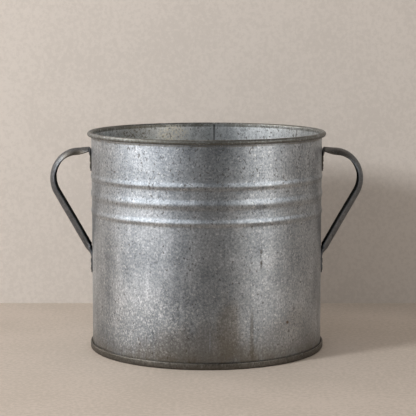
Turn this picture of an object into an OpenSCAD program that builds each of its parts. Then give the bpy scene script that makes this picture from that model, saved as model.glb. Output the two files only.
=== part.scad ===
// Galvanised steel feed bucket: a straight wall with a wired rim and three swage beads,
// a base held by a double seam, and two riveted strap handles.
// Millimetres. The origin is on the floor under the middle of the base, +Z is up,
// and +X points at the right handle.

/* [Wall] */
// Outer diameter of the straight wall
wall_d = 300; // [260:5:340]
// Height from the floor to the top of the rim
bucket_h = 283.5; // [270:0.5:320]
// Thickness of the galvanised sheet
sheet_t = 0.8; // [0.6:0.1:1.0]
// Diameter of the steel wire inside the rolled rim
rim_wire_d = 4.2; // [3.2:0.2:5.2]

/* [Swage beads] */
// Number of raised beads round the wall
bead_count = 3; // [1:1:5]
// Drop from the top of the rim to the middle of the top bead
bead_drop = 57.5; // [56:0.5:65]
// Distance between the middles of neighbouring beads
bead_pitch = 22.4; // [15:0.2:26]
// Height that a bead stands out of the wall
bead_h = 1.1; // [0.8:0.1:2.0]
// Width of the outer beads, measured up the wall
bead_w = 11; // [8:0.5:11]
// Width of the middle bead, which is rolled broader
mid_bead_w = 14.5; // [8:0.5:16]

/* [Seams] */
// Height of the double seam round the base
base_seam_h = 8.5; // [7.5:0.5:12]
// Height of the underside of the base above the floor
base_recess = 7; // [6:0.5:10]
// Width of the grooved lock seam up the back of the wall
lock_seam_w = 7; // [5:0.5:9]
// Angle of the lock seam, turned from the right handle towards the back
lock_seam_angle = 86; // [60:1:120]

/* [Handles] */
// Width of the flat strap before it is curled
strap_w = 32; // [26:1:36]
// Thickness of the strap
strap_t = 1.5; // [1.2:0.1:1.8]
// Drop from the top of the rim to the top of the handle
handle_drop = 21; // [18:0.5:26]
// Length of the straight top arm
arm_len = 15.5; // [12:0.5:22]
// Slope of the top arm below level
arm_slope = 4.5; // [0:0.5:12]
// Radius of the shoulder bend
shoulder_r = 35; // [30:1:40]
// Angle that the shoulder bend turns through
shoulder_turn = 37; // [30:1:45]
// Radius of the palm bend
palm_r = 42; // [36:1:46]
// Lean of the lower arm from upright
lower_arm_lean = 29.5; // [26:0.5:36]
// Half angle that the strap is curled through along the grip
grip_curl = 65; // [50:1:70]
// Half angle that is left in the curl round the palm bend
palm_curl = 46; // [35:1:60]
// Length of the upper tab, from its lower end to the top of the handle
upper_tab_len = 31; // [29:0.5:31]
// Length of the flat lower tab
lower_tab_len = 18; // [18:1:28]

/* [Rivets] */
// Diameter of a rivet's shank
rivet_d = 4; // [3:0.5:4.5]
// Diameter of a rivet's flat outer head
rivet_head_d = 7; // [6:0.5:7.5]
// Distance between the two rivets of a tab
rivet_pitch = 9; // [8:0.5:9]

/* [Hidden] */
$fn = 96;

seam_fit = 0.2;                 // room between folded sheets, and round the rim wire
rivet_fit = 0.1;                // room round a rivet's shank
wall_r = wall_d / 2;            // outer radius of the straight wall
skin = "#9aa1a6";               // zinc-coated sheet
dark_skin = "#6f7377";          // handled and weathered zinc
wire_skin = "#85898c";          // drawn wire

// Rolled rim: the sheet is curled outwards round the wire
curl_in_r = rim_wire_d / 2 + seam_fit;
curl_r = curl_in_r + sheet_t;
curl_x = wall_r - sheet_t + curl_r;
curl_z = bucket_h - curl_r;
curl_stop = 40;                 // the curl's end stays this far, in degrees, short of straight down

// Double seam: five layers of sheet, folded round each other at the floor
pan_r = wall_r - sheet_t - seam_fit;          // outside of the base pan's inner flange
turn_r = sheet_t * 1.5 + seam_fit;            // outer radius of a sheet folded back over one sheet
foot_r = turn_r + seam_fit + sheet_t;         // outer radius of the fold that stands on the floor
foot_x = wall_r - sheet_t + turn_r;           // middle of the seam
foot_z = foot_r - 0.2;                        // the fold is worn flat by 0.2 where it stands
seam_r = foot_x + foot_r;                     // outside of the seam
lock_x = seam_r - turn_r;                     // middle of the fold at the seam's top
hook_gap = 0.8;                               // room past the end of each hook
pan_bend_r = 2.5;                             // bend between the base and its flange

// Beads, from the top one down
bead_z = [for (i = [0:bead_count - 1]) bucket_h - bead_drop - i * bead_pitch];
function bead_span(i) = i == (bead_count - 1) / 2 ? mid_bead_w : bead_w;
bead_steps = 14;
lock_layers = 3;                              // layers of the lock seam outside the wall
lock_end_gap = 0.3;                           // from the lock seam's ends to the base seam and rim

// Handle: stations along the strap's outer face, from the upper tab round to the lower one
tab_gap = 0.05;                               // zinc between a tab and the wall
tab_corner_r = 8;
tab_lean = 8;                                 // the upper tab leans off the wall above its rivets
tab_lean_r = 20;
fold_r = 3;                                   // outer radius of the fold under the top arm
toe_turn = 20;                                // the strap sinks to the wall as its curl opens
toe_r = 14;
heel_r = 14;
arm_curl = 34;                                // curl that the strap already has at the fold
arm_curl_len = 11;                            // length over which the arm reaches its full curl
strip_count = 8;                              // flat strips across the strap

rivet_edge = 5.5;                             // from a tab's end to its first rivet
tab_over_rivet = 3;                           // flat length above the upper tab's top rivet
rivet_head_t = 1;
rivet_head_edge = 0.8;                        // width of the slope round the head's edge
rivet_tail_d = 6;
rivet_tail_t = 1.5;

// ---- sheet profiles, drawn in the plane right of the bucket's axis ----

// Outer radius of the wall at height z: level ground with a raised cosine for each bead
function bead_rise(z, i) = let (d = abs(z - bead_z[i]))
    d < bead_span(i) / 2 ? bead_h * (1 + cos(360 * d / bead_span(i))) / 2 : 0;
function wall_face(z) = wall_r + max([for (i = [0:bead_count - 1]) bead_rise(z, i)]);

// Heights at which the wall's outline needs a point, from the floor end up
function wall_heights(z0, z1) = concat([z0],
    [for (i = [bead_count - 1:-1:0]) for (k = [0:bead_steps])
        bead_z[i] + bead_span(i) * (k / bead_steps - 0.5)], [z1]);

// A band that follows the wall's outer face, from depth `inside` to height `outside` of it
module wall_band(z0, z1, inside, outside) {
    heights = wall_heights(z0, z1);
    last = len(heights) - 1;
    polygon(concat(
        [for (z = heights) [wall_face(z) - inside, z]],
        [for (k = [last:-1:0]) [wall_face(heights[k]) + outside, heights[k]]]));
}

// A sheet bent round a circle, of which the box from `low` to `high` keeps a part, in radii
module bend(r, low, high) {
    intersection() {
        difference() {
            circle(r = r);
            circle(r = r - sheet_t);
        }
        translate(r * low) square(r * (high - low));
    }
}
module bend_down(r) bend(r, [-1, -1], [1, 0]);
module bend_up(r) bend(r, [-1, 0], [1, 1]);

// A straight upright run of sheet whose inner face is at radius x
module run(x, z0, z1) {
    translate([x, z0]) square([sheet_t, z1 - z0]);
}

module rim_curl_profile() {
    tuck = 3 * curl_r;
    translate([curl_x, curl_z]) difference() {
        circle(r = curl_r);
        circle(r = curl_in_r);
        polygon([[0, 0], [-tuck, 0], [-tuck, -tuck], [-tuck * tan(curl_stop), -tuck]]);
    }
}

module body_wall_profile() {
    wall_band(foot_z, curl_z, sheet_t, 0);
    rim_curl_profile();
    translate([foot_x, foot_z]) bend_down(turn_r);
    run(foot_x + turn_r - sheet_t, foot_z, base_seam_h - turn_r - hook_gap);
}

module base_pan_profile() {
    top = base_recess + sheet_t;
    translate([0, base_recess]) square([pan_r - pan_bend_r, sheet_t]);
    translate([pan_r - pan_bend_r, top - pan_bend_r]) bend(pan_bend_r, [0, 0], [1, 1]);
    run(pan_r - sheet_t, foot_z, top - pan_bend_r);
    intersection() {
        translate([foot_x, foot_z]) bend_down(foot_r);
        square([2 * wall_r, foot_r]);
    }
    run(seam_r - sheet_t, foot_z, base_seam_h - turn_r);
    translate([lock_x, base_seam_h - turn_r]) bend_up(turn_r);
    run(lock_x - turn_r, foot_z + hook_gap, base_seam_h - turn_r);
}

// ---- handle strap ----

// Length of the lower arm that brings the strap's outer face to the lower tab
function lower_arm_len() = let (
        h0 = -arm_slope, h1 = h0 - shoulder_turn, h2 = lower_heading(), h3 = h2 - toe_turn,
        reach = arm_start_x() + arm_len * cos(h0)
              + shoulder_r * (sin(h0) - sin(h1)) + palm_r * (sin(h1) - sin(h2))
              + toe_r * (sin(h2) - sin(h3)) + heel_r * (sin(-90) - sin(h3)))
    (reach - (wall_r + tab_gap + strap_t)) / -cos(h2);
function lower_heading() = -90 - lower_arm_lean;
function arm_start_x() = wall_r + tab_gap + lean_run() * sin(tab_lean)
    + tab_lean_r * (1 - cos(tab_lean)) + fold_r * (cos(tab_lean) + sin(arm_slope));
function flat_tab_len() = rivet_edge + rivet_pitch + tab_over_rivet;
function lean_run() = (upper_tab_len - flat_tab_len() - tab_lean_r * sin(tab_lean)
    - fold_r * (1 - sin(tab_lean))) / cos(tab_lean);

// One length of strap: [length, turn in degrees (right is positive), curl at its end, steps]
function arc_len(r, turn) = PI * r * abs(turn) / 180;
strap_route = [
    [tab_corner_r, 0, 0, 4],
    [flat_tab_len() - tab_corner_r, 0, 0, 1],
    [arc_len(tab_lean_r, tab_lean), tab_lean, 4, 2],
    [lean_run(), 0, arm_curl * 0.8, 2],
    [arc_len(fold_r, 90 - tab_lean + arm_slope), 90 - tab_lean + arm_slope, arm_curl, 6],
    [arm_curl_len, 0, grip_curl - 4, 4],
    [arm_len - arm_curl_len, 0, grip_curl, 1],
    [arc_len(shoulder_r, shoulder_turn), shoulder_turn, palm_curl + 6, 6],
    [arc_len(palm_r, (lower_turn() - shoulder_turn) / 2),
        (lower_turn() - shoulder_turn) / 2, palm_curl, 6],
    [arc_len(palm_r, (lower_turn() - shoulder_turn) / 2),
        (lower_turn() - shoulder_turn) / 2, grip_curl - 6, 6],
    [lower_arm_len() / 2, 0, grip_curl, 3],
    [lower_arm_len() / 2, 0, grip_curl - 2, 3],
    [arc_len(toe_r, toe_turn), toe_turn, 38, 3],
    [arc_len(heel_r, lower_arm_lean + toe_turn), -(lower_arm_lean + toe_turn), 0, 6],
    [lower_tab_len - tab_corner_r, 0, 0, 1],
    [tab_corner_r, 0, 0, 4]
];
function lower_turn() = -arm_slope - lower_heading();

// Walks along the route and returns a station [x, z, heading, curl, length so far] per step
function walk(leg, step, at) =
    leg == len(strap_route) ? [at] :
    let (
        part = strap_route[leg],
        dl = part[0] / part[3],
        turn = -part[1] / part[3],
        curl0 = leg == 0 ? 0 : strap_route[leg - 1][2],
        curl = curl0 + (part[2] - curl0) * (step + 1) / part[3],
        mid = at[2] + turn / 2,
        chord = turn == 0 ? dl : 2 * (dl * 180 / PI / abs(turn)) * sin(abs(turn) / 2),
        next = [at[0] + chord * cos(mid), at[1] + chord * sin(mid), at[2] + turn, curl, at[4] + dl]
    )
    concat([at], step + 1 < part[3] ? walk(leg, step + 1, next) : walk(leg + 1, 0, next));

// Share of the strap's half width at a distance from a tab's end: rounded corners
function corner_share(s) = let (d = tab_corner_r - min(s, tab_corner_r))
    1 - (tab_corner_r - sqrt(tab_corner_r * tab_corner_r - d * d)) / (strap_w / 2);

// A point of the strap's section at station p: across runs from -1 to 1, depth is 0 on the
// outer face and strap_t on the inner one. Up to the fold the curl bends the sheet in its own
// plane, so the arm's edges start lower than its middle; past it the curl is towards the inside.
function strap_point(p, total, fold_end, across, depth) = let (
        share = corner_share(min(p[4], total - p[4])),
        curl = max(p[3], 0.05),
        bend_r = strap_w / 2 / (curl * PI / 180),
        angle = curl * across * share,
        y = bend_r * sin(angle),
        dip = bend_r * (1 - cos(angle)),
        inward = [sin(p[2]), -cos(p[2])],
        along = p[4] <= fold_end ? [0, -1] : inward,
        turned = angle * (along * inward),
        hug = max(0, 1 - p[3] / 20) * (wall_r - sqrt(wall_r * wall_r - y * y)))
    [p[0] - hug + dip * along[0] + depth * cos(turned) * inward[0],
     y - depth * sin(turned),
     p[1] + dip * along[1] + depth * cos(turned) * inward[1]];

function strap_sections(stations, fold_end) = let (total = stations[len(stations) - 1][4])
    [for (p = stations) concat(
        [for (k = [0:strip_count])
            strap_point(p, total, fold_end, 2 * k / strip_count - 1, 0)],
        [for (k = [strip_count:-1:0])
            strap_point(p, total, fold_end, 2 * k / strip_count - 1, strap_t)])];

// Joins closed rings of points into one solid
module skin_rings(rings) {
    n = len(rings[0]);
    last = len(rings) - 1;
    polyhedron(
        points = [for (ring = rings) for (q = ring) q],
        faces = concat(
            [[for (j = [n - 1:-1:0]) j]],
            [for (i = [0:last - 1]) for (j = [0:n - 1]) let (a = i * n + j, b = i * n + (j + 1) % n)
                each [[a, b, a + n], [b, b + n, a + n]]],
            [[for (j = [0:n - 1]) last * n + j]]),
        convexity = 8);
}

// ---- rivets ----

handle_top = bucket_h - handle_drop;
upper_tab_z = handle_top - upper_tab_len;
upper_rivet_z = [for (i = [0:1]) upper_tab_z + rivet_edge + i * rivet_pitch];
lower_tab_z = strap_end_z();
lower_rivet_z = [for (i = [0:1]) lower_tab_z + rivet_edge + i * rivet_pitch];

function strap_stations() = walk(0, 0, [wall_r + tab_gap, upper_tab_z, 90, 0, 0]);
function strap_end_z() = let (all = strap_stations()) all[len(all) - 1][1];
function fold_end_len() = strap_route[0][0] + strap_route[1][0] + strap_route[2][0]
    + strap_route[3][0] + strap_route[4][0] + 0.001;

// Bores along X through the right-hand tabs at the given heights
module rivet_bores(heights) {
    for (z = heights)
        translate([wall_r - 5, 0, z]) rotate([0, 90, 0]) cylinder(d = rivet_d, h = 10);
}

// Rivets of the right-hand side: flat head outside, shank, and a domed tail inside
module rivet_pair(heights) {
    head_x = wall_r + tab_gap + strap_t;
    tail_x = wall_r - sheet_t - tab_gap;
    dome_r = (rivet_tail_d * rivet_tail_d / 4 + rivet_tail_t * rivet_tail_t) / (2 * rivet_tail_t);
    for (z = heights) translate([0, 0, z]) rotate([0, 90, 0]) {
        translate([0, 0, head_x]) cylinder(d = rivet_head_d, h = rivet_head_t * 0.6);
        translate([0, 0, head_x + rivet_head_t * 0.6])
            cylinder(d1 = rivet_head_d, d2 = rivet_head_d - 2 * rivet_head_edge,
                     h = rivet_head_t * 0.4);
        translate([0, 0, tail_x]) cylinder(d = rivet_d - 2 * rivet_fit, h = head_x - tail_x);
        intersection() {
            translate([0, 0, tail_x + dome_r - rivet_tail_t]) sphere(r = dome_r);
            translate([0, 0, tail_x - 2 * rivet_tail_t])
                cylinder(d = 2 * rivet_tail_d, h = 2 * rivet_tail_t);
        }
    }
}

// ---- sub-parts ----

// Rolled wall with its beads, rim curl, seam hook, lock seam and rivet holes
module body_wall() color(skin) {
    difference() {
        union() {
            rotate_extrude() body_wall_profile();
            seam_span = lock_seam_w / wall_r * 180 / PI;
            rotate_extrude(angle = seam_span, start = lock_seam_angle - seam_span / 2)
                wall_band(base_seam_h + lock_end_gap, curl_z - curl_r - lock_end_gap,
                          sheet_t / 2, lock_layers * sheet_t);
        }
        for (side = [0, 1]) mirror([side, 0, 0]) {
            rivet_bores(upper_rivet_z);
            rivet_bores(lower_rivet_z);
        }
    }
}

// Base disc with its inner flange, the fold it stands on, and the hook over the wall's edge
module base_pan() color(skin) rotate_extrude() base_pan_profile();

// Steel wire that stiffens the rim
module rim_wire() color(wire_skin)
    rotate_extrude() translate([curl_x, curl_z]) circle(d = rim_wire_d);

// Curled strap handle of the right-hand side, with its two tabs and their rivet holes
module strap_handle() {
    difference() {
        skin_rings(strap_sections(strap_stations(), fold_end_len()));
        rivet_bores(upper_rivet_z);
        rivet_bores(lower_rivet_z);
    }
}

module right_handle() color(dark_skin) strap_handle();
module left_handle() color(dark_skin) mirror([1, 0, 0]) strap_handle();

module right_upper_rivets() color(skin) rivet_pair(upper_rivet_z);
module right_lower_rivets() color(skin) rivet_pair(lower_rivet_z);
module left_upper_rivets() color(skin) mirror([1, 0, 0]) rivet_pair(upper_rivet_z);
module left_lower_rivets() color(skin) mirror([1, 0, 0]) rivet_pair(lower_rivet_z);

body_wall();
base_pan();
rim_wire();
left_handle();
right_handle();
left_upper_rivets();
left_lower_rivets();
right_upper_rivets();
right_lower_rivets();
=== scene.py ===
"""Looks of the feed bucket: a galvanised pail with a wired rim, three swage beads, a double
seam round its base and two curled strap handles. Everything is in metres."""

import logging
import math
from dataclasses import dataclass, field
from enum import Enum
from functools import partial

import bmesh
import bpy
from mathutils import Matrix, Vector, noise


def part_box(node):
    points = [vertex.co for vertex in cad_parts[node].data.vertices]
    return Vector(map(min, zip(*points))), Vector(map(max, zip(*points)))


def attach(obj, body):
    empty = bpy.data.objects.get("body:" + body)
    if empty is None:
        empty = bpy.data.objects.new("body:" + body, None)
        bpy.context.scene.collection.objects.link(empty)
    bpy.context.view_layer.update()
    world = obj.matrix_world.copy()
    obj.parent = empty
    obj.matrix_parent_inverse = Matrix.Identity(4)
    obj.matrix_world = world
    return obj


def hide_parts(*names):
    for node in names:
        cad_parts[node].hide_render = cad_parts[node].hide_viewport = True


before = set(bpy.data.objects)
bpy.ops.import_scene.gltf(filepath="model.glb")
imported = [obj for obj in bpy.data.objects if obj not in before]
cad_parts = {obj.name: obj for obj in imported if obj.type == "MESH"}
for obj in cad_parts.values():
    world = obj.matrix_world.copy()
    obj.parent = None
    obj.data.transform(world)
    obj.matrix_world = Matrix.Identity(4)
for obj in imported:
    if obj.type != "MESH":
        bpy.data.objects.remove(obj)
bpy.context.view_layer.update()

LOG = logging.getLogger("feed_bucket")
MM = 0.001
TAU = 2 * math.pi
ROOT = "root"

# Sockets of a colour Mix node, whose names repeat for each kind of data
MIX_SHARE, MIX_FIRST, MIX_SECOND, MIX_COLOUR = 0, 6, 7, 2

# Settings of the nodes that every finish uses
ADD, SUBTRACT, MULTIPLY, MULTIPLY_ADD = (
    {"operation": name} for name in ("ADD", "SUBTRACT", "MULTIPLY", "MULTIPLY_ADD"))
SMOOTH = {"interpolation_type": "SMOOTHSTEP"}
COLOUR = {"data_type": "RGBA"}

Point = tuple[float, float]
Place = tuple[float, float, float]
Socket = bpy.types.NodeSocket


class Side(Enum):
    """The side of the bucket that a handle is on, as the sign of its X."""

    RIGHT = 1
    LEFT = -1


# ---- Meshes ----


def sin_deg(angle: float) -> float:
    """Sine of an angle in degrees."""
    return math.sin(math.radians(angle))


def cos_deg(angle: float) -> float:
    """Cosine of an angle in degrees."""
    return math.cos(math.radians(angle))


def arc(centre: Point, radius: float, start: float, end: float, steps: int) -> list[Point]:
    """Points of a round bend in a sheet's outline.

    Args:
        centre: middle of the bend, as radius from the bucket's axis and height.
        radius: radius of the bend.
        start: direction of the first point in degrees, 0 outwards and 90 up.
        end: direction of the last point in degrees.
        steps: number of straight pieces in the arc.

    Returns:
        The points, first and last included.
    """
    turns = [math.radians(start + (end - start) * i / steps) for i in range(steps + 1)]
    return [(centre[0] + radius * math.cos(t), centre[1] + radius * math.sin(t)) for t in turns]


def lathe(bm: bmesh.types.BMesh, outline: list[Point], steps: int,
          start: float = 0.0, sweep: float = TAU) -> None:
    """Spins a closed outline round the Z axis and adds the solid to a mesh.

    Args:
        bm: mesh that takes the solid.
        outline: points as radius and height, joined in a ring, or open with both ends on the
            axis.
        steps: number of steps round the axis.
        start: angle of the first copy of the outline, from +X towards +Y.
        sweep: angle that the outline is spun through.
    """
    whole = sweep >= TAU
    turned = Matrix.Rotation(start, 4, "Z")
    verts = [bm.verts.new(turned @ Vector((r, 0.0, z))) for r, z in outline]
    edges = [bm.edges.new(pair) for pair in zip(verts, verts[1:])]
    if outline[0][0] > 0 or outline[-1][0] > 0:
        edges.append(bm.edges.new((verts[-1], verts[0])))
    if not whole:
        bm.faces.new(verts)
    spun = bmesh.ops.spin(bm, geom=verts + edges, cent=(0, 0, 0), axis=(0, 0, 1), angle=sweep,
                          steps=steps, use_merge=whole)
    if not whole:
        bm.faces.new([v for v in spun["geom_last"] if isinstance(v, bmesh.types.BMVert)])
    bmesh.ops.remove_doubles(bm, verts=bm.verts, dist=MM / 1000)


def settle(bm: bmesh.types.BMesh) -> None:
    """Turns every face of a mesh outwards.

    Args:
        bm: mesh of closed solids.
    """
    bmesh.ops.recalc_face_normals(bm, faces=bm.faces)
    if bm.calc_volume(signed=True) < 0:
        bmesh.ops.reverse_faces(bm, faces=bm.faces)


def absorb(bm: bmesh.types.BMesh, part: bmesh.types.BMesh) -> None:
    """Adds one mesh to another and frees it.

    Args:
        bm: mesh that grows.
        part: mesh that is added.
    """
    mesh = bpy.data.meshes.new("part")
    part.to_mesh(mesh)
    part.free()
    bm.from_mesh(mesh)
    bpy.data.meshes.remove(mesh)


def finish_piece(bm: bmesh.types.BMesh, name: str, finishes: list[bpy.types.Material],
                 slot: str, stands_for: str, smooth_to: float = 40.0) -> bpy.types.Object:
    """Makes an object of a mesh, dresses it and ties it to the frame.

    Args:
        bm: finished mesh in the frame's own place. It is freed.
        name: name of the piece.
        finishes: materials, in the order of the faces' material numbers.
        slot: name of the material slot, shown only in the log.
        stands_for: CAD node that the piece stands for.
        smooth_to: largest angle in degrees across an edge that is shaded smooth.

    Returns:
        The object.
    """
    mesh = bpy.data.meshes.new(name)
    for face in bm.faces:
        face.smooth = True
    for edge in bm.edges:
        edge.smooth = edge.calc_face_angle(0.0) < math.radians(smooth_to)
    bm.to_mesh(mesh)
    bm.free()
    piece = bpy.data.objects.new(name, mesh)
    bpy.context.scene.collection.objects.link(piece)
    for finish in finishes:
        mesh.materials.append(finish)
    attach(piece, ROOT)
    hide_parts(stands_for)
    triangles = sum(len(p.vertices) - 2 for p in mesh.polygons)
    LOG.info("%s: %d triangles, slot %s, for CAD node %s", name, triangles, slot, stands_for)
    return piece


# ---- Finishes ----


def linear(colour: str) -> tuple[float, float, float, float]:
    """Turns an sRGB hex colour to linear light.

    Args:
        colour: colour as "#rrggbb".

    Returns:
        Red, green, blue and an alpha of 1.
    """
    parts = [int(colour[i:i + 2], 16) / 255 for i in (1, 3, 5)]
    light = [c / 12.92 if c <= 0.04045 else ((c + 0.055) / 1.055) ** 2.4 for c in parts]
    return (*light, 1.0)


def add_node(tree: bpy.types.NodeTree, kind: str, settings: dict | None = None,
             inputs: dict | None = None, out: int | str = 0) -> Socket | None:
    """Adds a node to a tree, with its settings and links.

    Args:
        tree: node tree that takes the node.
        kind: Blender's name for the kind of node.
        settings: properties of the node.
        inputs: sockets by name or number, each with a value or the socket that feeds it.
        out: name or number of the output that is wanted.

    Returns:
        That output, or None from a node that has none.
    """
    node = tree.nodes.new(kind)
    for key, value in (settings or {}).items():
        setattr(node, key, value)
    for key, value in (inputs or {}).items():
        socket = node.inputs[key]
        if isinstance(value, Socket):
            tree.links.new(value, socket)
        else:
            socket.default_value = value
    return node.outputs[out] if node.outputs else None


def new_material(name: str) -> tuple[bpy.types.Material, partial]:
    """Makes a material with an empty node tree.

    Args:
        name: name of the material.

    Returns:
        The material, and add_node for its tree.
    """
    material = bpy.data.materials.new(name)
    material.use_nodes = True
    material.node_tree.nodes.clear()
    return material, partial(add_node, material.node_tree)


class Weave(Enum):
    """The noises that a zinc skin is made of: patch width, height over width, octaves, and
    how strong the finer octaves are. The mottle, pits and specks are drawn two to three times
    coarser than real ones, which are about 1 mm, so that they show from two metres.
    """

    MOTTLE = (2.5 * MM, 1.1, 4.0, 0.75)
    PATCH = (24 * MM, 1.5, 3.0, 0.6)
    CLOUD = (90 * MM, 1.2, 2.0, 0.5)
    STREAK = (6 * MM, 14.0, 2.0, 0.5)
    PIT = (3.0 * MM, 1.3, 1.0, 0.5)
    SPECK = (3.2 * MM, 1.0, 1.0, 0.5)


# How much each noise sways the tone of a zinc skin, which is 0.5 on the whole
TONE_GAINS = {Weave.MOTTLE: 1.5, Weave.PATCH: 0.65, Weave.CLOUD: 0.5}
STREAK_GAIN = 0.5

# Ramps, as the inputs of a map from 1, 2 to 3, 4: tones, then where pits and specks bite,
# how patchy the dirt and the painted crease shade are, and how much patina a worn rim keeps
DARK_TO_MID = {1: 0.05, 2: 0.55}
MID_TO_LIGHT = {1: 0.45, 2: 0.95}
PIT_EDGE = {1: 0.79, 2: 0.88}
SPECK_EDGE = {1: 0.64, 2: 0.72}
GRIME_AND_SHADE_PATCHES = {1: 0.3, 2: 0.6, 3: 0.45, 4: 1.0}
RIM_WEAR = {1: 0.3, 2: 0.9, 3: 0.95, 4: 0.45}

# Pits gather in patches, and there are more of them higher up
PIT_PATCHES = 0.25
PIT_CLIMB = 90 * MM
PIT_CLIMB_GAIN = 0.05

SPECK_COLOUR = "#eef0f0"
FOOT_DIRT = 0.85

# The edge of a mark, as a share of its size, and the noise over which it is broken up
MARK_FADE = 0.6
MARK_BREAK = 0.12

# Roughness: its spread over the mottle, and what dirt with the painted crease shade, pits
# and the rim's patina add
ROUGH_SPREAD = 0.14
GRIME_AND_SHADE_ROUGH, PIT_ROUGH, RIM_ROUGH = 0.16, 0.2, 0.12

# The black flag's shade: where it starts and is full, in metres, and how its sides slant
FLAG_EDGE = {1: 0.18, 2: 0.42}
FLAG_SLANT = 0.7


@dataclass(frozen=True)
class ShadeLine:
    """A line of painted shade in grime's colour round the bucket, under an edge or in a
    crease at one height.
    """

    height: float
    reach: float
    strength: float


def mm(x: float, y: float, z: float) -> Place:
    """A place or a size given in millimetres."""
    return x * MM, y * MM, z * MM


@dataclass(frozen=True)
class Mark:
    """A stain, scuff or rust spot at one place, with soft edges, broken up by a noise."""

    place: Place
    size: Place
    colour: str
    strength: float
    broken_by: Weave = Weave.PATCH
    cover: float = 1.0


@dataclass(frozen=True)
class ZincFinish:
    """Hot-dipped galvanised steel: a dull zinc skin whose small crystals show as a fine mottle.

    The skin is metal all over, so its look comes from how evenly it shines. Old water marks,
    oxide and dirt dull it, and they lie where water runs and stands. Its shade lines are
    painted shade, in the grime's colour, under edges and in creases.
    """

    name: str
    dark: str = "#6b7177"
    mid: str = "#a3a9af"
    light: str = "#d8dce1"
    # Colour of the grime at the foot, and also of the painted shade lines
    grime_and_shade_colour: str = "#665c4c"
    pit: str = "#4a4239"
    patina: str = "#6a6962"
    roughness: float = 0.41
    contrast: float = 1.0
    pitting: float = 0.6
    pits_from: float = 0.16
    specks: float = 0.45
    streaks: float = 0.5
    grime_height: float = 38 * MM
    patina_from: float = 1.0
    relief: float = 0.2 * MM
    # Lines of painted shade under edges and in creases
    shade_lines: tuple[ShadeLine, ...] = ()
    marks: tuple[Mark, ...] = ()
    seed: float = 0.0

    def build(self) -> bpy.types.Material:
        """Builds the node material.

        Returns:
            The material.
        """
        material, add = new_material(self.name)
        place = add("ShaderNodeTexCoord", out="Object")
        height = add("ShaderNodeSeparateXYZ", None, {0: place}, "Z")
        noises = self.noises(add, place)
        tone = 0.5
        for weave, gain in (*TONE_GAINS.items(), (Weave.STREAK, STREAK_GAIN * self.streaks)):
            off = add("ShaderNodeMath", SUBTRACT, {0: noises[weave], 1: 0.5})
            tone = add("ShaderNodeMath", MULTIPLY_ADD, {
                0: off, 1: gain * self.contrast, 2: tone})

        # Pits: the zinc has gone from small round spots, most of them high up
        crowd = add("ShaderNodeMapRange", SMOOTH, {
            0: height, 1: self.pits_from, 2: self.pits_from + PIT_CLIMB, 3: 0.0,
            4: PIT_CLIMB_GAIN})
        crowd = add("ShaderNodeMath", MULTIPLY_ADD, {
            0: noises[Weave.PATCH], 1: PIT_PATCHES, 2: crowd})
        pit = add("ShaderNodeMath", ADD, {0: noises[Weave.PIT], 1: crowd})
        pit = add("ShaderNodeMapRange", SMOOTH, {0: pit, **PIT_EDGE, 4: self.pitting})
        speck = add("ShaderNodeMapRange", SMOOTH, {
            0: noises[Weave.SPECK], **SPECK_EDGE, 4: self.specks})

        # The rolled rim is worn dull and brown by hands and weather
        rim = add("ShaderNodeMapRange", SMOOTH, {
            0: height, 1: self.patina_from, 2: self.patina_from + 1 * MM})
        worn = add("ShaderNodeMapRange", SMOOTH, {0: tone, **RIM_WEAR})
        rim = add("ShaderNodeMath", MULTIPLY, {0: rim, 1: worn})
        # Grime at the foot, and painted shade along the shade lines
        grime_and_shade = self.grime_and_shade_share(add, noises, height)

        layers = [
            (add("ShaderNodeMapRange", SMOOTH, {0: tone, **DARK_TO_MID}), self.mid),
            (add("ShaderNodeMapRange", SMOOTH, {0: tone, **MID_TO_LIGHT}), self.light),
            (pit, self.pit),
            (speck, SPECK_COLOUR),
            (grime_and_shade, self.grime_and_shade_colour),
            (rim, self.patina),
            *[(self.mark_share(add, place, noises, mark), mark.colour) for mark in self.marks],
        ]
        colour = linear(self.dark)
        for share, shade in layers:
            colour = add("ShaderNodeMix", COLOUR, {
                MIX_SHARE: share, MIX_FIRST: colour, MIX_SECOND: linear(shade)}, MIX_COLOUR)

        rough = add("ShaderNodeMath", MULTIPLY_ADD, {
            0: noises[Weave.MOTTLE], 1: ROUGH_SPREAD, 2: self.roughness - ROUGH_SPREAD / 2})
        for share, gain in ((grime_and_shade, GRIME_AND_SHADE_ROUGH), (pit, PIT_ROUGH), (rim, RIM_ROUGH)):
            rough = add("ShaderNodeMath", MULTIPLY_ADD, {0: share, 1: gain, 2: rough})
        # The sheet waves a little, the mottle is finer on top, and the pits are sunk
        relief = add("ShaderNodeMath", MULTIPLY_ADD, {
            0: noises[Weave.PATCH], 1: 3.0, 2: noises[Weave.MOTTLE]})
        relief = add("ShaderNodeMath", MULTIPLY_ADD, {0: pit, 1: -1.0, 2: relief})
        bump = add("ShaderNodeBump", None, {
            "Strength": 0.5, "Distance": self.relief, "Height": relief})
        metal = add("ShaderNodeBsdfPrincipled", None, {
            "Base Color": colour, "Roughness": rough, "Metallic": 1.0, "Normal": bump})
        add("ShaderNodeOutputMaterial", None, {"Surface": metal})
        return material

    def noises(self, add: partial, place: Socket) -> dict[Weave, Socket]:
        """Adds the noises of the skin.

        Args:
            add: add_node for the tree.
            place: place on the object.

        Returns:
            The value of each noise.
        """
        shifted = add("ShaderNodeVectorMath", ADD, {0: place, 1: (self.seed, self.seed, 0.0)})
        found = {}
        for weave in Weave:
            width, stretch, octaves, finer = weave.value
            mapped = add("ShaderNodeMapping", None, {
                "Vector": shifted, "Scale": (1.0, 1.0, 1.0 / stretch)})
            found[weave] = add("ShaderNodeTexNoise", None, {
                "Vector": mapped, "Scale": 1.0 / width, "Detail": octaves, "Roughness": finer})
        return found

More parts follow.
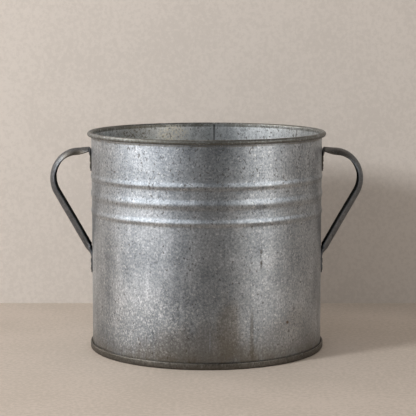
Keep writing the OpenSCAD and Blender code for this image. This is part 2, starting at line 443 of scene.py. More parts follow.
    def grime_and_shade_share(self, add: partial, noises: dict[Weave, Socket], height: Socket) -> Socket:
        """Places the grime splashed up from the floor, and the lines of painted shade.

        Args:
            add: add_node for the tree.
            noises: value of each noise.
            height: height above the floor.

        Returns:
            How much of the grime's colour shows, for the grime and the painted shade alike.
        """
        foot = add("ShaderNodeMapRange", SMOOTH, {
            0: height, 1: self.grime_height, 2: 0.0, 3: 0.0, 4: FOOT_DIRT})
        patchy = add("ShaderNodeMapRange", SMOOTH, {0: noises[Weave.PATCH], **GRIME_AND_SHADE_PATCHES})
        grime_and_shade = add("ShaderNodeMath", MULTIPLY, {0: foot, 1: patchy})
        # Each line paints shade in the grime's colour, patchy like the grime
        for line in self.shade_lines:
            off = add("ShaderNodeMath", SUBTRACT, {0: height, 1: line.height})
            off = add("ShaderNodeMath", {"operation": "ABSOLUTE"}, {0: off})
            near = add("ShaderNodeMapRange", SMOOTH, {
                0: off, 1: line.reach, 2: 0.0, 3: 0.0, 4: line.strength})
            near = add("ShaderNodeMath", MULTIPLY, {0: near, 1: patchy})
            grime_and_shade = add("ShaderNodeMath", {"operation": "MAXIMUM"}, {0: grime_and_shade, 1: near})
        return grime_and_shade

    def mark_share(self, add: partial, place: Socket, noises: dict[Weave, Socket],
                   mark: Mark) -> Socket:
        """Places one mark.

        Args:
            add: add_node for the tree.
            place: place on the object.
            noises: value of each noise.
            mark: the mark.

        Returns:
            How much of the mark's colour shows.
        """
        off = add("ShaderNodeVectorMath", SUBTRACT, {0: place, 1: mark.place})
        off = add("ShaderNodeVectorMath", {"operation": "DIVIDE"}, {0: off, 1: mark.size})
        off = add("ShaderNodeVectorMath", {"operation": "LENGTH"}, {0: off}, "Value")
        off = add("ShaderNodeMath", SUBTRACT, {0: off, 1: noises[Weave.PATCH]})
        near = add("ShaderNodeMapRange", SMOOTH, {0: off, 1: MARK_FADE, 2: 0.0, 3: 0.0, 4: 1.0})
        start = 0.5 - mark.cover / 2
        share = add("ShaderNodeMapRange", SMOOTH, {
            0: noises[mark.broken_by], 1: start, 2: start + MARK_BREAK, 3: 0.0,
            4: mark.strength})
        return add("ShaderNodeMath", MULTIPLY, {0: share, 1: near})


@dataclass(frozen=True)
class PlasterFinish:
    """Limewashed plaster or fine concrete: matt and pale, with faint clouds and trowel marks."""

    name: str
    light: str
    dark: str
    cloud_size: float = 120 * MM
    mark_size: float = 5 * MM
    marks: float = 2.4
    mirrored: float = 1.0
    one_sided: bool = False

    def build(self) -> bpy.types.Material:
        """Builds the node material.

        Returns:
            The material.
        """
        material, add = new_material(self.name)
        place = add("ShaderNodeTexCoord", out="Object")
        cloud = add("ShaderNodeTexNoise", None, {
            "Vector": place, "Scale": 1 / self.cloud_size, "Detail": 4.0, "Roughness": 0.5})
        mark = add("ShaderNodeTexNoise", None, {
            "Vector": place, "Scale": 1 / self.mark_size, "Detail": 3.0, "Roughness": 0.65})
        mark = add("ShaderNodeMath", SUBTRACT, {0: mark, 1: 0.5})
        tone = add("ShaderNodeMath", MULTIPLY_ADD, {0: mark, 1: self.marks, 2: cloud})
        tone = add("ShaderNodeMapRange", None, {0: tone, 1: 0.3, 2: 0.7})
        colour = add("ShaderNodeMix", COLOUR, {
            MIX_SHARE: tone, MIX_FIRST: linear(self.dark), MIX_SECOND: linear(self.light)},
            MIX_COLOUR)
        surface = add("ShaderNodeBsdfPrincipled", None, {
            "Base Color": colour, "Roughness": 0.85, "Specular IOR Level": 0.25})
        if self.mirrored < 1:
            surface = add("ShaderNodeMixShader", None, {
                0: self.flag_share(add, place), 1: surface,
                2: add("ShaderNodeBsdfDiffuse", None, {"Color": (0.0, 0.0, 0.0, 1.0)})})
        if self.one_sided:
            surface = add("ShaderNodeMixShader", None, {
                0: add("ShaderNodeNewGeometry", out="Backfacing"), 1: surface,
                2: add("ShaderNodeBsdfTransparent")})
        add("ShaderNodeOutputMaterial", None, {"Surface": surface})
        return material

    def flag_share(self, add: partial, place: Socket) -> Socket:
        """Places a black flag's shade, which only the metal mirrors, in front of the bucket.

        Args:
            add: add_node for the tree.
            place: place on the floor.

        Returns:
            How dark the floor is in the metal.
        """
        slant = add("ShaderNodeVectorMath", {"operation": "ABSOLUTE"}, {0: place})
        slant = add("ShaderNodeVectorMath", {"operation": "DOT_PRODUCT"}, {
            0: slant, 1: (-FLAG_SLANT, 0.0, 0.0)}, "Value")
        ahead = add("ShaderNodeVectorMath", {"operation": "DOT_PRODUCT"}, {
            0: place, 1: (0.0, -1.0, 0.0)}, "Value")
        ahead = add("ShaderNodeMath", ADD, {0: ahead, 1: slant})
        ahead = add("ShaderNodeMapRange", SMOOTH, {
            0: ahead, **FLAG_EDGE, 3: 0.0, 4: 1 - self.mirrored})
        return add("ShaderNodeMath", MULTIPLY, {
            0: add("ShaderNodeLightPath", out="Is Glossy Ray"), 1: ahead})


# ---- Wall ----


@dataclass
class BucketWall:
    """The rolled wall sheet, with its beads, rim curl, seam hook and lock seam."""

    sheet: float = 0.8 * MM
    fit: float = 0.2 * MM
    bead_drops: tuple[float, ...] = mm(57.5, 79.9, 102.3)
    bead_widths: tuple[float, ...] = mm(11, 14.5, 11)
    bead_height: float = 1.1 * MM
    bead_rows: int = 14
    seam_height: float = 8.5 * MM
    curl_end: float = -130.0
    lock_angle: float = 86.0
    lock_width: float = 7 * MM
    lock_layers: int = 3
    seam_reach: float = 0.06
    groove_width: float = 1.8 * MM
    groove_depth: float = 0.5 * MM
    dent: float = 0.15 * MM
    steps: int = 288
    rows: float = 6 * MM
    radius: float = field(init=False)
    curl_middle: Point = field(init=False)
    curl_inner: float = field(init=False)
    top: float = field(init=False)

    def __post_init__(self) -> None:
        """Takes the wall's radius and the curl's place from the CAD wire and wall."""
        wire_low, wire_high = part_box("rim_wire")
        wire_r = (wire_high.z - wire_low.z) / 2
        self.curl_inner = wire_r + self.fit
        self.curl_middle = (wire_high.x - wire_r, (wire_high.z + wire_low.z) / 2)
        self.radius = self.curl_middle[0] - self.curl_inner
        self.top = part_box("body_wall")[1].z

    def finishes(self) -> list[bpy.types.Material]:
        """The skins of the outside and of the inside.

        Returns:
            The two materials, outside first.
        """
        # Painted shade in the grime's colour: a thin line under each bead, one in the groove
        # above the base seam and one under the rim curl
        crease_shades = [ShadeLine(self.top - drop - width * 0.47, 1.4 * MM, 0.2)
                   for drop, width in zip(self.bead_drops, self.bead_widths)]
        crease_shades.append(ShadeLine(self.seam_height + 0.8 * MM, 2.0 * MM, 0.85))
        crease_shades.append(ShadeLine(self.curl_middle[1] - 4.6 * MM, 2.2 * MM, 0.7))
        rim_from = self.curl_middle[1] - self.curl_inner - self.sheet
        marks = (
            Mark(mm(26, -147, 50), mm(17, 40, 46), "#7a6d54", 0.38),
            Mark(mm(101, -111, 52), mm(2, 6, 2), "#6b4a33", 0.8),
            Mark(mm(67, -134, 141), mm(2, 6, 22), "#4a4239", 0.6, Weave.PIT, 0.1),
            Mark(mm(56, -139, 40), mm(3.5, 6, 36), "#554d42", 0.5, Weave.STREAK, 0.5),
            Mark(mm(-75, -130, 55), mm(75, 90, 50), "#f2f3f2", 0.5, Weave.MOTTLE, -0.04),
            Mark(mm(70, -130, 34), mm(60, 80, 26), "#e6e4df", 0.2, Weave.MOTTLE, -0.02),
            # Painted shade: a broad darkening low on the right front, where the metal mirrors the
            # floor's shadow
            Mark(mm(95, -100, 22), mm(70, 70, 52), "#67625a", 0.4),
            Mark(mm(-12, -139, 14), mm(85, 60, 48), "#5b5140", 0.48, Weave.STREAK, 0.6),
        )
        # A soft grey sheen, broken by the mottle, that goes brown and dull at foot and rim
        outer = ZincFinish("galvanised steel, hot-dipped, weathered", shade_lines=tuple(crease_shades),
                           patina_from=rim_from, marks=marks)
        # Painted shadow: a near-black line down the inside of the lock seam, cast by the sheet's
        # edge
        seam = math.radians(self.lock_angle)
        inner_r = self.radius - self.sheet
        seam_shadow = Mark((inner_r * math.cos(seam), inner_r * math.sin(seam), self.top / 2),
                      (1.6 * MM, 4 * MM, self.top * 3), "#2f2d2a", 0.85)
        # Old feed and rust lie in broken patches on the left of the back
        stains = (
            Mark(mm(-88, 120, 262), mm(60, 70, 30), "#8a8474", 0.35),
            Mark(mm(20, 148, 262), mm(36, 30, 30), "#84888b", 0.45),
            Mark(mm(-98, 113, 268), mm(34, 40, 16), "#5b4d33", 0.8, Weave.MOTTLE, 0.06),
            Mark(mm(-48, 141, 268), mm(26, 24, 14), "#d9d2c0", 0.8, Weave.MOTTLE, 0.1),
        )
        # The inside is paler and more even, with a brown tide mark under the rim
        inner = ZincFinish("galvanised steel, hot-dipped, stained inside", dark="#8b8f91",
                           mid="#d0d4d6", light="#f0f2f3", patina_from=rim_from, seed=3.0,
                           pitting=0.7, streaks=1.0, roughness=0.42, marks=(*stains, seam_shadow))
        return [outer.build(), inner.build()]

    def face(self, z: float) -> float:
        """Outer radius of the wall at a height, beads included.

        Args:
            z: height above the floor.

        Returns:
            The radius.
        """
        rise = 0.0
        for drop, width in zip(self.bead_drops, self.bead_widths):
            off = abs(z - (self.top - drop))
            if off < width / 2:
                rise = max(rise, self.bead_height * (1 + math.cos(TAU * off / width)) / 2)
        return self.radius + rise

    def heights(self, low: float, high: float) -> list[float]:
        """Heights at which the wall's outline has a point: close together on the beads.

        Args:
            low: lowest height.
            high: highest height.

        Returns:
            The heights, going up.
        """
        marks = {low, high}
        for drop, width in zip(self.bead_drops, self.bead_widths):
            marks.update(self.top - drop + width * (i / self.bead_rows - 0.5)
                         for i in range(self.bead_rows + 1))
        ends = sorted(marks)
        found = [ends[0]]
        for upper in ends[1:]:
            count = max(1, round((upper - found[-1]) / self.rows))
            lower = found[-1]
            found += [lower + (upper - lower) * (i + 1) / count for i in range(count)]
        return found

    def outline(self) -> list[Point]:
        """Section of the whole sheet, from the seam hook's end round the curl and back.

        Returns:
            The points, as a ring.
        """
        turn = 1.5 * self.sheet + self.fit
        foot = (self.radius - self.sheet + turn, turn + self.sheet)
        hook_top = self.seam_height - turn - self.sheet
        climb = self.heights(foot[1], self.curl_middle[1])
        outer_curl = self.curl_inner + self.sheet
        return [
            (foot[0] + turn - self.sheet, hook_top),
            *arc(foot, turn - self.sheet, 0, -180, 6),
            *[(self.face(z), z) for z in climb[1:-1]],
            *arc(self.curl_middle, self.curl_inner, 180, self.curl_end, 22),
            *arc(self.curl_middle, outer_curl, self.curl_end, 180, 26),
            *[(self.face(z) - self.sheet, z) for z in reversed(climb[1:-1])],
            *arc(foot, turn, -180, 0, 8),
            (foot[0] + turn, hook_top),
        ]

    def shape(self, bm: bmesh.types.BMesh) -> None:
        """Gives the spun sheet its groove along the seam and its slight unevenness.

        Args:
            bm: mesh of the spun sheet.
        """
        middle = math.radians(self.lock_angle)
        half = self.groove_width / 2 / self.radius
        for off in (-half, 0.0, half):
            turn = middle + off
            across = Vector((-math.sin(turn), math.cos(turn), 0.0))
            near = [f for f in bm.faces
                    if self.off_seam(f.calc_center_median()) < self.seam_reach]
            parts = {*near, *[e for f in near for e in f.edges],
                     *[v for f in near for v in f.verts]}
            bmesh.ops.bisect_plane(bm, geom=list(parts), dist=MM / 1000,
                                   plane_co=(0, 0, 0), plane_no=across)
        for v in bm.verts:
            if self.off_seam(v.co) < half * 0.2:
                self.press_groove(v)
        # The dents are broad, and fade out towards the stiff seam and rim
        for v in bm.verts:
            turn, z = math.atan2(v.co.y, v.co.x), v.co.z
            fade = min(1.0, max(0.0, (z - 12 * MM) / (40 * MM)))
            fade *= min(1.0, max(0.0, (self.top - 12 * MM - z) / (30 * MM)))
            at = Vector((math.cos(turn) * 1.7, math.sin(turn) * 1.7, z * 9.0))
            push = (noise.noise(at) * 0.75 + noise.noise(at * 2.7) * 0.25 - 0.1) * self.dent * 2
            v.co.xy *= 1 + push * fade / self.radius

    def off_seam(self, co: Vector) -> float:
        """Angle in radians round the axis between a point and the lock seam."""
        turn = math.atan2(co.y, co.x) - math.radians(self.lock_angle)
        return abs(math.remainder(turn, TAU))

    def press_groove(self, v: bmesh.types.BMVert) -> None:
        """Presses one vertex of the visible inner side into the sheet.

        Args:
            v: vertex in the middle of the groove.
        """
        r = v.co.xy.length
        along = Vector((v.co.x, v.co.y, 0.0)).normalized()
        if v.co.z < self.curl_middle[1]:
            if r < self.face(v.co.z) - self.sheet / 2:
                v.co += along * self.groove_depth
            return
        off = Vector((r - self.curl_middle[0], v.co.z - self.curl_middle[1]))
        if off.length > self.curl_inner + self.sheet / 2:
            off = off.normalized() * -self.groove_depth
            v.co += along * off.x + Vector((0, 0, off.y))

    def lock_seam(self, bm: bmesh.types.BMesh) -> None:
        """Adds the flat fold that stands on the outside where the sheet's two ends are locked.

        Args:
            bm: mesh of the wall.
        """
        low = self.seam_height + 0.3 * MM
        high = self.curl_middle[1] - self.curl_inner - self.sheet - 0.3 * MM
        climb = self.heights(low, high)
        raised = self.lock_layers * self.sheet
        ring = [(self.face(z) - self.sheet / 2, z) for z in climb]
        ring += [(self.face(z) + raised, z) for z in reversed(climb)]
        span = self.lock_width / self.radius
        fold = bmesh.new()
        lathe(fold, ring, 6, math.radians(self.lock_angle) - span / 2, span)
        settle(fold)
        corner = [e for e in fold.edges if e.calc_face_angle(0.0) > 1.0
                  and min(v.co.xy.length - self.face(v.co.z) for v in e.verts) > raised / 2]
        bmesh.ops.bevel(fold, geom=corner, offset=0.6 * MM, offset_type="OFFSET", segments=3,
                        profile=0.5, affect="EDGES", material=-1, clamp_overlap=True)
        absorb(bm, fold)

    def build(self) -> bpy.types.Object:
        """Builds the wall.

        Returns:
            The object.
        """
        bm = bmesh.new()
        lathe(bm, self.outline(), self.steps)
        settle(bm)
        self.shape(bm)
        self.lock_seam(bm)
        for f in bm.faces:
            middle = f.calc_center_median()
            inward = f.normal.x * middle.x + f.normal.y * middle.y < 0
            low = middle.xy.length < self.face(middle.z) - self.sheet * 0.6
            f.material_index = 1 if inward and low else 0
        return finish_piece(bm, "rolled_wall", self.finishes(), "wall_zinc", "body_wall")


# ---- Base ----


@dataclass
class BasePan:
    """The base disc, whose edge is folded round the wall's lower edge and stands on the floor."""

    finish: bpy.types.Material
    wall_radius: float
    sheet: float = 0.8 * MM
    fit: float = 0.2 * MM
    recess: float = 7 * MM
    seam_height: float = 8.5 * MM
    bend: float = 2.5 * MM
    worn: float = 0.2 * MM
    steps: int = 288

    def outline(self) -> list[Point]:
        """Section of the pan, from the middle of its top to the middle of its underside.

        Returns:
            The points, open at the axis.
        """
        flange = self.wall_radius - self.sheet - self.fit
        turn = 1.5 * self.sheet + self.fit
        foot_r = turn + self.fit + self.sheet
        foot = (self.wall_radius - self.sheet + turn, foot_r - self.worn)
        edge = foot[0] + foot_r
        lock = (edge - turn, self.seam_height - turn)
        top = self.recess + self.sheet
        bend_at = (flange - self.bend, top - self.bend)
        low = [(r, max(0.0, z)) for r, z in arc(foot, foot_r, -180, 0, 20)]
        rings = [(bend_at[0] * i / 12, top) for i in range(12)]
        under = [(bend_at[0] * i / 12, self.recess) for i in range(11, -1, -1)]
        return [
            *rings,
            *arc(bend_at, self.bend, 90, 0, 6),
            *arc(foot, foot_r - self.sheet, -180, 0, 12),
            *arc(lock, turn - self.sheet, 0, 180, 8),
            (lock[0] - turn + self.sheet, foot[1] + self.sheet),
            (lock[0] - turn, foot[1] + self.sheet),
            *arc(lock, turn, 180, 0, 12),
            *reversed(low),
            *arc(bend_at, self.bend - self.sheet, 0, 90, 6),
            *under,
        ]

    def build(self) -> bpy.types.Object:
        """Builds the pan.

        Returns:
            The object.
        """
        bm = bmesh.new()
        lathe(bm, self.outline(), self.steps)
        settle(bm)
        return finish_piece(bm, "seamed_base", [self.finish], "base_zinc", "base_pan")


# ---- Handles ----


@dataclass(frozen=True)
class Leg:
    """One length of the strap's way: its length, turn to the right and curl at its end."""

    length: float
    turn: float
    curl: float
    steps: int


def bend(radius: float, turn: float, curl: float, steps: int) -> Leg:
    """A leg that turns through that angle in degrees in a bend of that radius."""
    return Leg(radius * math.radians(abs(turn)), turn, curl, steps)


@dataclass(frozen=True)
class Station:
    """A place along the strap: where its outer face is, where it heads and how it is curled."""

    x: float
    z: float
    heading: float
    curl: float
    run: float


@dataclass
class StrapHandle:
    """A strap bent to a fixed handle, its edges curled in along the grip, flat at both tabs."""

    side: Side
    finish: bpy.types.Material
    hollow_shade_finish: bpy.types.Material
    wall_radius: float
    width: float = 32 * MM
    thick: float = 1.5 * MM
    gap: float = 0.05 * MM
    arm: float = 15.5 * MM
    slope: float = 4.5
    shoulder_r: float = 35 * MM
    shoulder_turn: float = 37.0
    palm_r: float = 42 * MM
    lean: float = 29.5
    grip_curl: float = 65.0
    palm_curl: float = 46.0
    upper_tab: float = 31 * MM
    flat_tab: float = 17.5 * MM
    lower_tab: float = 18 * MM
    corner_r: float = 8 * MM
    tab_lean: float = 8.0
    tab_lean_r: float = 20 * MM
    fold_r: float = 3 * MM
    toe_turn: float = 20.0
    toe_r: float = 14 * MM
    heel_r: float = 14 * MM
    arm_curl: float = 34.0
    arm_curl_run: float = 11 * MM
    across: int = 20
    edge_round: float = 0.4 * MM
    top: float = field(init=False)
    name: str = field(init=False)

    def __post_init__(self) -> None:
        """Takes the handle's height from its CAD node."""
        self.name = "right_handle" if self.side is Side.RIGHT else "left_handle"
        self.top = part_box(self.name)[1].z

    def route(self) -> list[Leg]:
        """The strap's way from the upper tab's lower end round the grip to the lower tab.

        Returns:
            The legs in order.
        """
        rise = (self.upper_tab - self.flat_tab - self.tab_lean_r * sin_deg(self.tab_lean)
                - self.fold_r * (1 - sin_deg(self.tab_lean))) / cos_deg(self.tab_lean)
        start = (self.wall_radius + self.gap + rise * sin_deg(self.tab_lean)
                 + self.tab_lean_r * (1 - cos_deg(self.tab_lean))
                 + self.fold_r * (cos_deg(self.tab_lean) + sin_deg(self.slope)))
        heads = [-self.slope, -self.slope - self.shoulder_turn, -90 - self.lean]
        heads.append(heads[2] - self.toe_turn)
        reach = (start + self.arm * cos_deg(heads[0])
                 + self.shoulder_r * (sin_deg(heads[0]) - sin_deg(heads[1]))
                 + self.palm_r * (sin_deg(heads[1]) - sin_deg(heads[2]))
                 + self.toe_r * (sin_deg(heads[2]) - sin_deg(heads[3]))
                 + self.heel_r * (-1 - sin_deg(heads[3])))
        lower = (reach - (self.wall_radius + self.gap + self.thick)) / -cos_deg(heads[2])
        palm = heads[1] - heads[2]
        fold = 90 - self.tab_lean + self.slope
        heel = self.lean + self.toe_turn
        return [
            Leg(self.corner_r, 0, 0, 6),
            Leg(self.flat_tab - self.corner_r, 0, 0, 3),
            bend(self.tab_lean_r, self.tab_lean, 4, 3),
            Leg(rise, 0, self.arm_curl * 0.8, 4),
            bend(self.fold_r, fold, self.arm_curl, 8),
            Leg(self.arm_curl_run, 0, self.grip_curl - 4, 8),
            Leg(self.arm - self.arm_curl_run, 0, self.grip_curl, 3),
            bend(self.shoulder_r, self.shoulder_turn, self.palm_curl + 6, 12),
            bend(self.palm_r, palm / 2, self.palm_curl, 16),
            bend(self.palm_r, palm / 2, self.grip_curl - 6, 16),
            Leg(lower / 2, 0, self.grip_curl, 14),
            Leg(lower / 2, 0, self.grip_curl - 2, 14),
            bend(self.toe_r, self.toe_turn, 38, 4),
            bend(self.heel_r, -heel, 0, 8),
            Leg(self.lower_tab - self.corner_r, 0, 0, 3),
            Leg(self.corner_r, 0, 0, 6),
        ]

    def stations(self) -> list[Station]:
        """Walks the route.

        Returns:
            A station per step, both ends included.
        """
        at = Station(self.wall_radius + self.gap, self.top - self.upper_tab, 90.0, 0.0, 0.0)
        found = [at]
        for leg in self.route():
            curl0 = at.curl
            for i in range(leg.steps):
                dl, turn = leg.length / leg.steps, math.radians(-leg.turn / leg.steps)
                mid = math.radians(at.heading) + turn / 2
                chord = dl if turn == 0 else 2 * dl / abs(turn) * math.sin(abs(turn) / 2)
                at = Station(at.x + chord * math.cos(mid), at.z + chord * math.sin(mid),
                             at.heading + math.degrees(turn),
                             curl0 + (leg.curl - curl0) * (i + 1) / leg.steps, at.run + dl)
                found.append(at)
        return found

    def place(self, at: Station, across: float, total: float, fold_end: float) -> Vector:
        """A point of the strap's outer face.

        Args:
            at: place along the strap.
            across: -1 and 1 at the strap's edges and 0 in its middle.
            total: length of the whole strap.
            fold_end: length up to the end of the fold under the top arm.

        Returns:
            The point, for the handle of this side.
        """
        depth = self.corner_r - min(at.run, total - at.run, self.corner_r)
        cut = self.corner_r - math.sqrt(self.corner_r ** 2 - depth ** 2)
        share = 1 - cut / (self.width / 2)
        curl = math.radians(max(at.curl, 0.05))
        bend_r = self.width / 2 / curl
        turned = curl * across * share
        y, dip = bend_r * math.sin(turned), bend_r * (1 - math.cos(turned))
        head = math.radians(at.heading)
        along = (0.0, -1.0) if at.run <= fold_end else (math.sin(head), -math.cos(head))
        hug = max(0.0, 1 - at.curl / 20) * (
            self.wall_radius - math.sqrt(self.wall_radius ** 2 - y ** 2))
        x = at.x - hug + dip * along[0]
        return Vector((x * self.side.value, y, at.z + dip * along[1]))

    def build(self) -> bpy.types.Object:
        """Builds the strap.

        Returns:
            The object.
        """
        found = self.stations()
        legs = self.route()
        total, fold_end = found[-1].run, sum(leg.length for leg in legs[:5]) + MM / 1000
        bm = bmesh.new()
        bmesh.ops.create_grid(bm, x_segments=self.across, y_segments=len(found) - 1, size=1.0)
        for v in bm.verts:
            row = round((v.co.y + 1) / 2 * (len(found) - 1))
            v.co = self.place(found[row], v.co.x, total, fold_end)
        bmesh.ops.recalc_face_normals(bm, faces=bm.faces)
        outward = sum(f.normal.x * self.side.value * f.calc_area() for f in bm.faces)
        if outward < 0:
            bmesh.ops.reverse_faces(bm, faces=bm.faces)
        shell = bmesh.ops.solidify(bm, geom=bm.faces, thickness=self.thick)["geom"]
        # The hollow's faces take the painted shade
        hollow = {f for f in shell if isinstance(f, bmesh.types.BMFace)}
        for f in bm.faces:
            f.material_index = 1 if f in hollow else 0
        settle(bm)
        sharp = [e for e in bm.edges if e.calc_face_angle(0.0) > math.radians(60)]
        bmesh.ops.bevel(bm, geom=sharp, offset=self.edge_round, offset_type="OFFSET", segments=2,
                        profile=0.5, affect="EDGES", material=-1, clamp_overlap=True)
        return finish_piece(bm, self.name + "_strap", [self.finish, self.hollow_shade_finish],
                            "handle_zinc", self.name)


# ---- Rivets ----


@dataclass
class RivetPair:
    """Two rivets of one tab: a flat head outside, the shank, and a domed tail inside."""

    node: str
    side: Side
    finish: bpy.types.Material
    head_d: float = 7 * MM
    head_t: float = 1 * MM
    shank_d: float = 3.8 * MM
    tail_d: float = 6 * MM
    tail_t: float = 1.5 * MM
    steps: int = 32

    def outline(self, low: float, high: float) -> list[Point]:
        """Section of a rivet, from the tip of its tail to the middle of its head.

        Args:
            low: distance of the tail's tip from the bucket's axis.
            high: distance of the head's face from the bucket's axis.

        Returns:
            The points, as radius from the rivet's own axis and distance along it.
        """
        tail, head = self.tail_d / 2, self.head_d / 2
        dome_r = (tail ** 2 + self.tail_t ** 2) / (2 * self.tail_t)
        reach = math.degrees(math.asin(tail / dome_r))
        dome = arc((0.0, low + dome_r), dome_r, -90, -90 + reach, 8)
        round_r = self.head_t * 0.4
        return [
            (0.0, low),
            *dome[1:],
            (self.shank_d / 2, low + self.tail_t),
            (self.shank_d / 2, high - self.head_t),
            (head, high - self.head_t),
            *arc((head - round_r, high - round_r), round_r, 0, 90, 4),
            (head * 0.6, high - 0.02 * MM),
            (0.0, high),
        ]

    def build(self) -> bpy.types.Object:
        """Builds both rivets as one piece.

        Returns:
            The object.
        """
        low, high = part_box(self.node)
        near, far = sorted((abs(low.x), abs(high.x)))
        bm = bmesh.new()
        for z in (low.z + self.head_d / 2, high.z - self.head_d / 2):
            one = bmesh.new()
            lathe(one, self.outline(near, far), self.steps)
            settle(one)
            turn = Matrix.Rotation(math.radians(90 * self.side.value), 4, "Y")
            bmesh.ops.transform(one, matrix=Matrix.Translation((0, 0, z)) @ turn, verts=one.verts)
            absorb(bm, one)
        return finish_piece(bm, self.node + "_set", [self.finish], "rivet_zinc", self.node)


# ---- Set ----


@dataclass(frozen=True)
class SoftPanel:
    """A soft studio light: an upright rectangle that faces the bucket from all round it.

    Azimuth is 0 at the camera and grows to the right. A panel is seen either in the metal or
    by the matt set.
    """

    name: str
    azimuth: float
    span: float
    low: float
    high: float
    radiance: float
    colour: str = "#ffffff"
    distance: float = 1.6
    for_metal: bool = True

    def build(self) -> None:
        """Makes the light."""
        data = bpy.data.lights.new(self.name, "AREA")
        data.shape = "RECTANGLE"
        data.size = 2 * self.distance * math.tan(math.radians(self.span / 2))
        data.size_y = self.high - self.low
        data.energy = self.radiance * math.pi * data.size * data.size_y
        data.color = linear(self.colour)[:3]
        light = bpy.data.objects.new(self.name, data)
        turn, middle = math.radians(self.azimuth), (self.high + self.low) / 2
        light.location = (self.distance * math.sin(turn), -self.distance * math.cos(turn), middle)
        light.rotation_euler = (math.radians(90), 0.0, turn)
        light.visible_camera = False
        light.visible_glossy = self.for_metal
        light.visible_diffuse = not self.for_metal
        bpy.context.scene.collection.objects.link(light)
        LOG.info("light %s: %.1f W", self.name, data.energy)


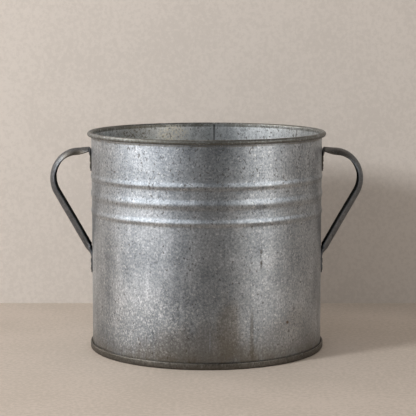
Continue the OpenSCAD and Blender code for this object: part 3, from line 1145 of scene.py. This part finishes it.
@dataclass
class Studio:
    """A pale floor and back wall, soft lights, and the camera."""

    back: float = 0.293
    reach: float = 6.0
    camera_place: Place = (0.00175, -2.015, 0.4362)
    camera_pitch: float = 82.808
    lens: float = 134.05
    sensor: float = 36.0
    fill: float = 0.93
    mirrored: float = 0.15
    lights: tuple[SoftPanel, ...] = (
        SoftPanel("key", -54.0, 10.6, 1.05, 1.55, 81.5, distance=2.72, for_metal=False),
        SoftPanel("left_bank", -52.0, 76.0, 0.5, 1.2, 2.2, "#fcfdff"),
        SoftPanel("left_low", -61.0, 56.0, 0.01, 0.5, 2.3, "#fcfdff"),
        SoftPanel("left_top", -93.0, 20.0, 1.2, 2.4, 20.0, "#fffdfa"),
        SoftPanel("right_strip", 52.5, 22.0, 0.01, 0.9, 2.9, "#fffaf4"),
        SoftPanel("right_bank", 57.0, 66.0, 0.5, 1.2, 1.2, "#fdfeff"),
    )

    def plane(self, name: str, corner: Vector, along: Vector, up: Vector,
              finish: bpy.types.Material) -> None:
        """Adds one flat surface of the set.

        Args:
            name: name of the surface.
            corner: one corner.
            along: edge from that corner.
            up: the other edge from that corner. The face points along `along` x `up`.
            finish: material.
        """
        bm = bmesh.new()
        bmesh.ops.create_grid(bm, x_segments=1, y_segments=1, size=0.5)
        for v in bm.verts:
            v.co = corner + along * (v.co.x + 0.5) + up * (v.co.y + 0.5)
        mesh = bpy.data.meshes.new(name)
        bm.to_mesh(mesh)
        bm.free()
        mesh.materials.append(finish)
        surface = bpy.data.objects.new(name, mesh)
        bpy.context.scene.collection.objects.link(surface)

    def build(self) -> None:
        """Makes the set, the lights, the world and the camera."""
        size = self.reach
        # A matt, warm and nearly even ground, on which the contact shadow shows
        floor = PlasterFinish("fine concrete, floated", "#cec2b7", "#c2b7ab",
                              mirrored=0.3).build()
        # Matt and pale, so that the bucket's outline is the strongest edge
        wall = PlasterFinish("lime plaster, trowelled", "#d3ccc5", "#ccc5be", 90 * MM,
                             one_sided=True).build()
        self.plane("floor", Vector((-size, -size, 0)), Vector((2 * size, 0, 0)),
                   Vector((0, 2 * size, 0)), floor)
        self.plane("back_wall", Vector((-size, self.back, 0)), Vector((2 * size, 0, 0)),
                   Vector((0, 0, size)), wall)
        for light in self.lights:
            light.build()
        self.build_world()
        self.build_camera()

    def build_world(self) -> None:
        """Makes the room: pale to the camera, a soft fill to matt surfaces, dim in metal."""
        world = bpy.data.worlds.new("studio_room")
        bpy.context.scene.world = world
        world.use_nodes = True
        world.node_tree.nodes.clear()
        add = partial(add_node, world.node_tree)
        fill, seen, mirrored = (
            add("ShaderNodeBackground", {"name": name}, {
                "Color": linear(colour), "Strength": strength})
            for name, colour, strength in (("fill", "#c8c4c0", self.fill),
                                           ("seen", "#cfc4ba", 1.0),
                                           ("mirrored", "#c8c4c0", self.mirrored)))
        glossy = add("ShaderNodeMixShader", None, {
            0: add("ShaderNodeLightPath", out="Is Glossy Ray"), 1: fill, 2: mirrored})
        mixed = add("ShaderNodeMixShader", None, {
            0: add("ShaderNodeLightPath", out="Is Camera Ray"), 1: glossy, 2: seen})
        add("ShaderNodeOutputWorld", None, {"Surface": mixed})

    def build_camera(self) -> None:
        """Makes the camera and sets how light is shown."""
        scene = bpy.context.scene
        data = bpy.data.cameras.new("camera")
        data.lens, data.sensor_width = self.lens, self.sensor
        camera = bpy.data.objects.new("camera", data)
        camera.location = self.camera_place
        camera.rotation_euler = (math.radians(self.camera_pitch), 0.0, 0.0)
        scene.collection.objects.link(camera)
        scene.camera = camera
        scene.view_settings.view_transform = "Standard"


# ---- The whole bucket ----


def main() -> None:
    """Builds the bucket and its set."""
    logging.basicConfig(level=logging.INFO, format="%(message)s")
    # The seamed foot is dirty and dark, so it grounds the bucket
    base_skin = ZincFinish("galvanised steel, hot-dipped, dirty foot", dark="#3f3c38",
                           mid="#6a6761", light="#99968f", grime_height=12 * MM,
                           grime_and_shade_colour="#57514a", roughness=0.46, specks=0.15, seed=5.0).build()
    worn = tuple(Mark(mm(side.value * 160, 0, 247), mm(34, 40, 16), "#5d5342", 0.75)
                 for side in Side)
    # Handling has dulled the straps, and they stand out dark against the wall
    handle_skin = ZincFinish("galvanised steel strap, handled dark", dark="#454545",
                             mid="#6d7074", light="#95989c", grime_height=1 * MM, contrast=0.7,
                             pitting=0.3, specks=0.1, roughness=0.47, marks=worn,
                             seed=8.0).build()
    # Painted shade makes the strap's hollow nearly black, so its curl can be read
    hollow_shade_skin = ZincFinish("galvanised steel strap, grimed in the hollow", dark="#201f1d",
                             mid="#33322f", light="#45433f", grime_height=1 * MM, contrast=0.4,
                             pitting=0.2, specks=0.0, roughness=0.5, seed=8.0).build()
    # Small, warmer and a little brighter than the tabs they hold
    rivet_skin = ZincFinish("zinc-plated steel rivet, hammered", dark="#55524e",
                            mid="#85837f", light="#b0afab", grime_height=1 * MM,
                            seed=9.0).build()
    # Plain grey, seen only where the curl stays open
    wire_skin = ZincFinish("galvanised steel wire, drawn", grime_height=1 * MM, seed=4.0).build()

    wall = BucketWall()
    wall.build()
    BasePan(base_skin, wall.radius).build()
    for side in Side:
        StrapHandle(side, handle_skin, hollow_shade_skin, wall.radius).build()
        for level in ("upper", "lower"):
            RivetPair(f"{side.name.lower()}_{level}_rivets", side, rivet_skin).build()
    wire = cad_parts["rim_wire"]
    wire.data.materials.clear()
    wire.data.materials.append(wire_skin)
    LOG.info("rim_wire: kept from CAD")
    Studio().build()


if __name__ == "__main__":
    main()
